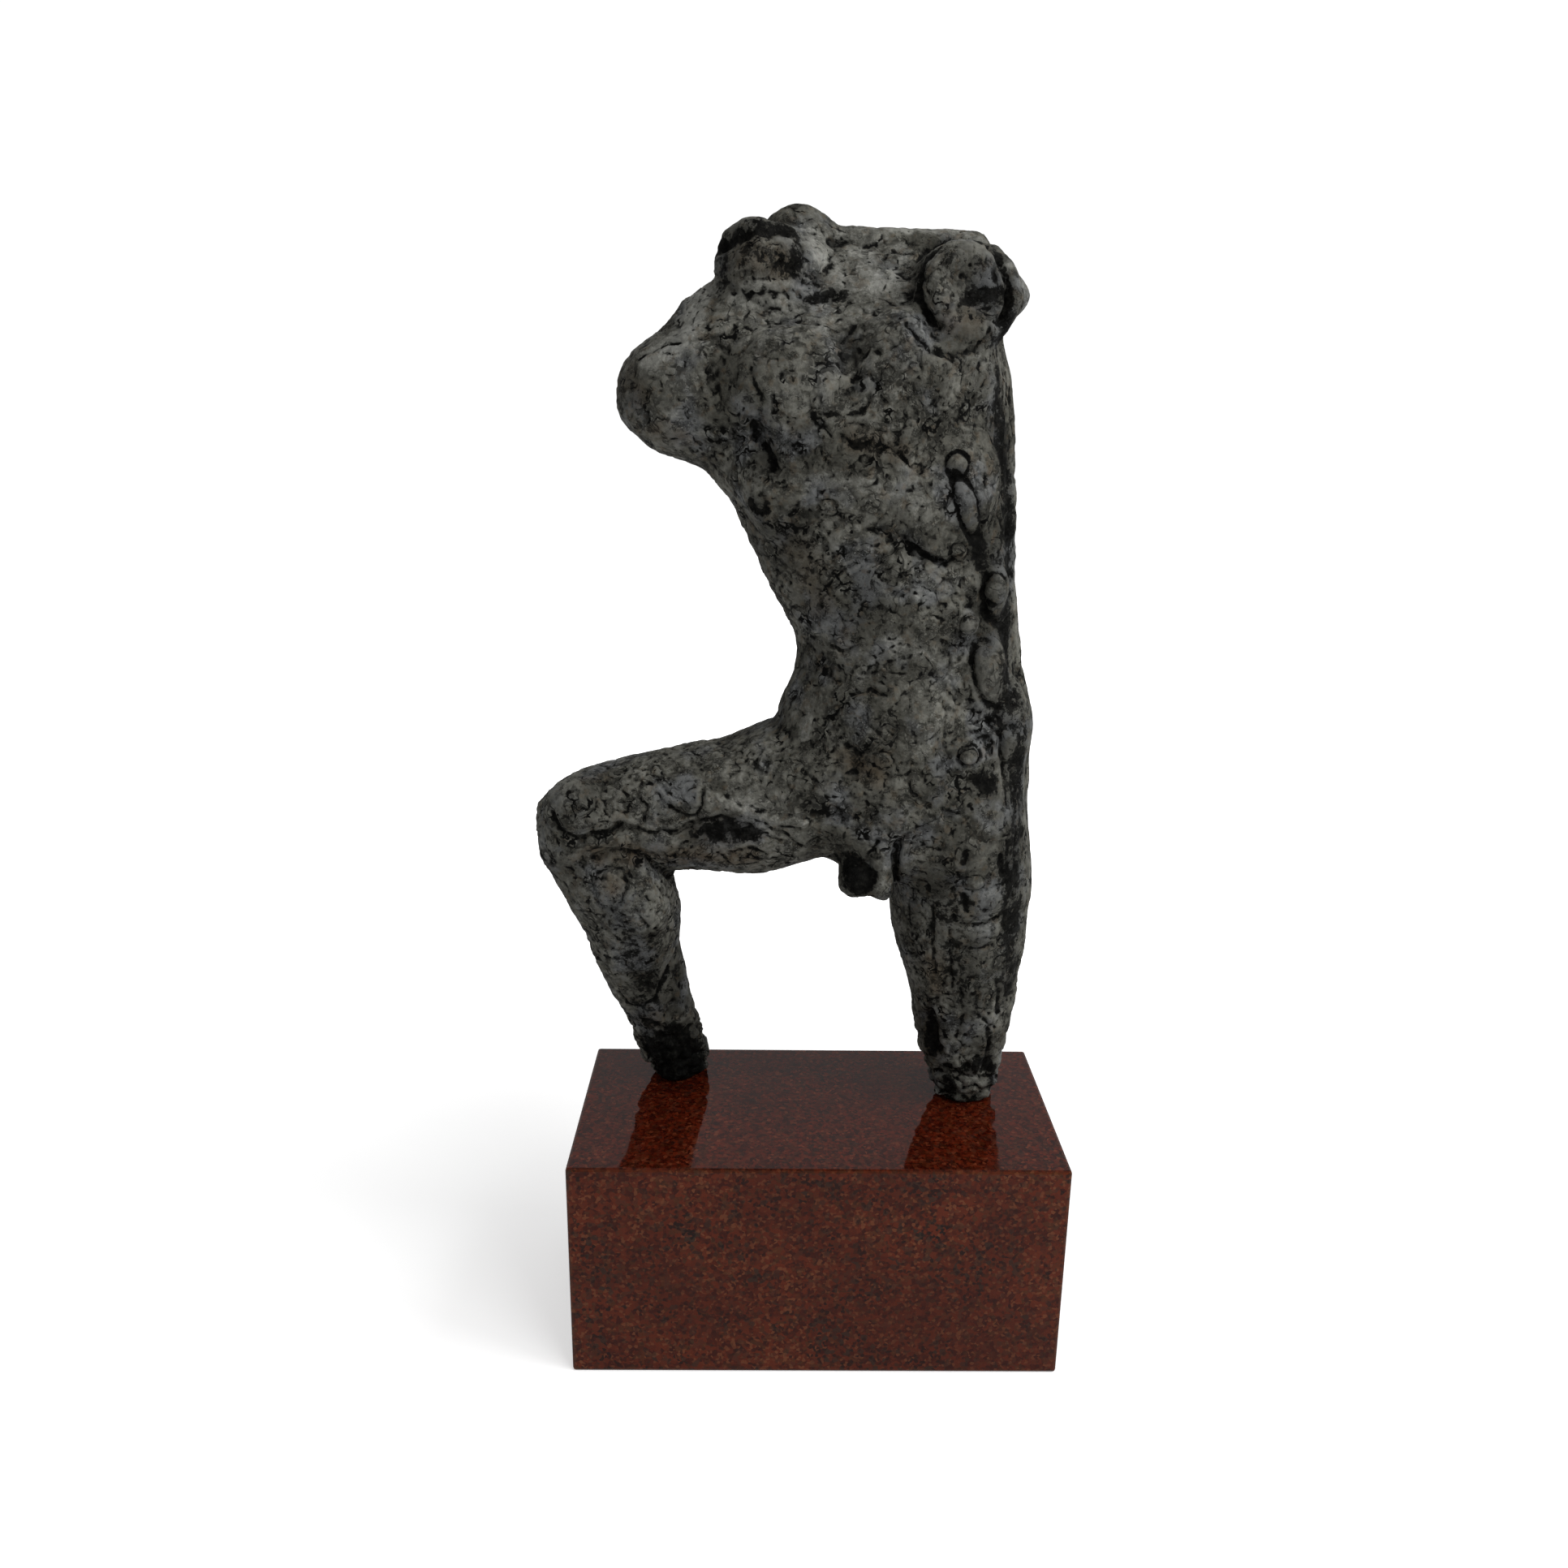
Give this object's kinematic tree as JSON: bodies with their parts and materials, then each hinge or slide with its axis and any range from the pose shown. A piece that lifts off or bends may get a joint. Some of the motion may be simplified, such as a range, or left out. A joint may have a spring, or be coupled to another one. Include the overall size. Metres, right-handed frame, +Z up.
{
  "type": "terracotta male nude sculpture",
  "caption": "Standing headless, armless male nude in patinated terracotta, right leg raised and bent, fixed on a polished red granite block.",
  "frame": {"origin": "centre of the block's underside", "axes": "+X towards the viewer's right, +Y away from the viewer who faces the figure's front, +Z up"},
  "size_m": [0.216, 0.1083, 0.4552],
  "materials": {
    "terracotta": "matt patina, dark grey in the hollows and pale grey on the ridges",
    "granite": "polished"
  },
  "bodies": {
    "root": {"figure": "terracotta", "plinth": "granite"}
  },
  "joints": []
}
